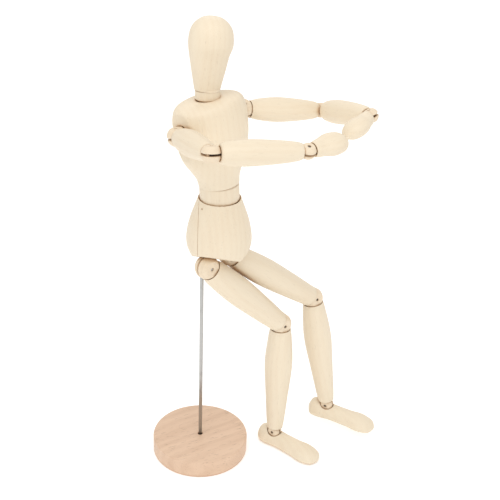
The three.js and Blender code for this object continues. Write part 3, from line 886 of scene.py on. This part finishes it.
def add_chain(side, chain, across, root_coil_end):
    """An arm or a leg down to its last joint. Returns that joint's place and the second limb's
    direction."""
    (root_name, root), (middle_name, middle), (last_name, last) = chain["joints"]
    upper, lower = chain["limbs"]
    origin = joint_point(f"{side}_{root_name}_swing")
    elbow = joint_point(f"{side}_{middle_name}_bend")
    end = joint_point(f"{side}_{last_name}_bend")
    first = (elbow - origin).normalized()
    second = (end - elbow).normalized()
    root_pin = across.cross(first).normalized()
    middle_pin = first.cross(second).normalized()
    root_ball = f"{side}_{root_name}_ball"
    middle_ball = f"{side}_{middle_name}_ball"

    add_ball(root_ball, root, origin, across, root_pin)
    inward = frame_of(origin, -across, root_pin)
    coil_start = root["r"] + 1.5
    spring_name = f"{side}_{root_name}_spring"
    add_spring(spring_name, root_ball, root, inward, coil_start, root_coil_end, EYE_SIDE)
    add_limb(side, upper, root, middle, origin, elbow, root_pin)
    back = frame_of(elbow, -first, middle_pin)
    add_far_eye(f"{side}_{upper[0]}_spring", middle_ball, middle, back, -EYE_SIDE)
    add_limb(side, lower, middle, last, elbow, end, middle_pin)
    add_ball(middle_ball, middle, elbow, first, middle_pin)
    return end, second


def add_arm(side, sign):
    across = (CHEST_FRAME.to_3x3() @ Vector((sign, 0, 0))).normalized()
    wrist, along = add_chain(side, ARM, across, SHOULDER_SPREAD - SHOULDER_COIL_SPARE)
    name, ball_name = f"{side}_hand", f"{side}_wrist_ball"
    fingers = (far_tip(name, wrist) - wrist).normalized()
    hand_pin = along.cross(fingers).normalized()
    add_ball(ball_name, WRIST, wrist, along, hand_pin)
    back = frame_of(wrist, -along, hand_pin)
    add_far_eye(f"{side}_forearm_spring", ball_name, WRIST, back, -EYE_SIDE)
    place = frame_of(wrist, fingers, hand_pin)
    finish_piece(hand(name), f"{name}_wood", place, name, "figure_wood", name)
    add_spring(f"{name}_spring", name, WRIST, place, *HAND_COIL, -EYE_SIDE)


def add_leg(side, sign):
    slope = math.radians(HIP_CUT)
    across = PELVIS_FRAME.to_3x3() @ Vector((sign * math.sin(slope), 0, -math.cos(slope)))
    ankle, down = add_chain(side, LEG, across.normalized(), HIP_COIL_END)
    name, ball_name = f"{side}_foot", f"{side}_ankle_ball"
    up = sole_up(name)
    toe = far_tip(name, ankle) - ankle
    toe = (toe - up * toe.dot(up)).normalized()
    foot_pin = down.cross(toe).normalized()
    add_ball(ball_name, ANKLE, ankle, down, foot_pin)
    back = frame_of(ankle, -down, foot_pin)
    add_far_eye(f"{side}_calf_spring", ball_name, ANKLE, back, -EYE_SIDE)
    place = frame_of(ankle, up, up.cross(toe))
    finish_piece(foot(name), f"{name}_wood", place, name, "figure_wood", name)
    hook = frame_of(ankle, -up, foot_pin)
    add_spring(f"{name}_spring", name, ANKLE, hook, *FOOT_COIL, -EYE_SIDE)


ARM = {
    "joints": (("shoulder", SHOULDER), ("elbow", ELBOW), ("hand", WRIST)),
    "limbs": (("upper_arm", UPPER_ARM), ("forearm", FOREARM)),
}
LEG = {
    "joints": (("hip", HIP), ("knee", KNEE), ("foot", ANKLE)),
    "limbs": (("thigh", THIGH), ("calf", CALF)),
}

for side, sign in (("right", -1), ("left", 1)):
    add_arm(side, sign)
    add_leg(side, sign)

# ---------- floor, light and camera ----------


def plain(name, colour, rough, glow):
    """One even colour with a little light of its own."""
    material = bpy.data.materials.new(name)
    material.use_nodes = True
    shader = material.node_tree.nodes["Principled BSDF"]
    shader.inputs["Base Color"].default_value = (*colour, 1)
    shader.inputs["Roughness"].default_value = rough
    shader.inputs["Emission Color"].default_value = (1, 1, 1, 1)
    shader.inputs["Emission Strength"].default_value = glow
    return material


def area_light(name, place, target, size, power, colour):
    """A soft square light that looks at a target; places in metres, power in watts."""
    light = bpy.data.lights.new(name, "AREA")
    light.size = size
    light.energy = power
    light.color = colour
    lamp = bpy.data.objects.new(name, light)
    lamp.location = place
    lamp.rotation_euler = (Vector(target) - Vector(place)).to_track_quat("-Z", "Y").to_euler()
    bpy.context.scene.collection.objects.link(lamp)


FLOOR_HALF = 60000.0
FLOOR_Z = -0.05
corners = [(x * FLOOR_HALF, y * FLOOR_HALF, FLOOR_Z) for x, y in ((-1, -1), (1, -1), (1, 1), (-1, 1))]
floor = mesh_object("floor", corners, [(0, 1, 2, 3)])
floor.data.materials.append(plain("floor_white", (0.9, 0.9, 0.9), 0.9, 0.3))

world = bpy.data.worlds.new("studio")
bpy.context.scene.world = world
world.use_nodes = True
sky = world.node_tree.nodes["Background"]
sky.inputs["Color"].default_value = (1.0, 0.99, 0.98, 1)
sky.inputs["Strength"].default_value = 0.71

MIDDLE = (0.03, 0, 0.15)  # of the figure, in metres
area_light("key", (-0.35, -0.5, 1.35), MIDDLE, 1.4, 10.4, (1, 0.985, 0.96))
area_light("fill", (0.9, -0.9, 0.5), MIDDLE, 0.9, 0.6, (1, 0.97, 0.93))
area_light("back", (0.4, 0.9, 0.9), MIDDLE, 0.8, 2, (1, 1, 1))

# The camera's place in metres, and where it looks: clockwise from +Y, down, and rolled.
CAMERA_AT = Vector((-0.2217, -0.4979, 0.446))
HEADING = math.radians(26.94)
PITCH = math.radians(28.78)
ROLL = math.radians(2.02)
LENS = 76.6
SENSOR = 36

level = Vector((math.sin(HEADING), math.cos(HEADING), 0))
ahead = level * math.cos(PITCH) - UP * math.sin(PITCH)
right = Vector((math.cos(HEADING), -math.sin(HEADING), 0))
upward = right.cross(ahead)
camera_right = right * math.cos(ROLL) + upward * math.sin(ROLL)
camera_up = upward * math.cos(ROLL) - right * math.sin(ROLL)
data = bpy.data.cameras.new("camera")
data.lens = LENS
data.sensor_width = SENSOR
data.clip_start = 0.01
camera = bpy.data.objects.new("camera", data)
turn = Matrix((camera_right, camera_up, -ahead)).transposed().to_4x4()
camera.matrix_world = Matrix.Translation(CAMERA_AT) @ turn
bpy.context.scene.collection.objects.link(camera)
bpy.context.scene.camera = camera
bpy.context.scene.view_settings.view_transform = "Standard"
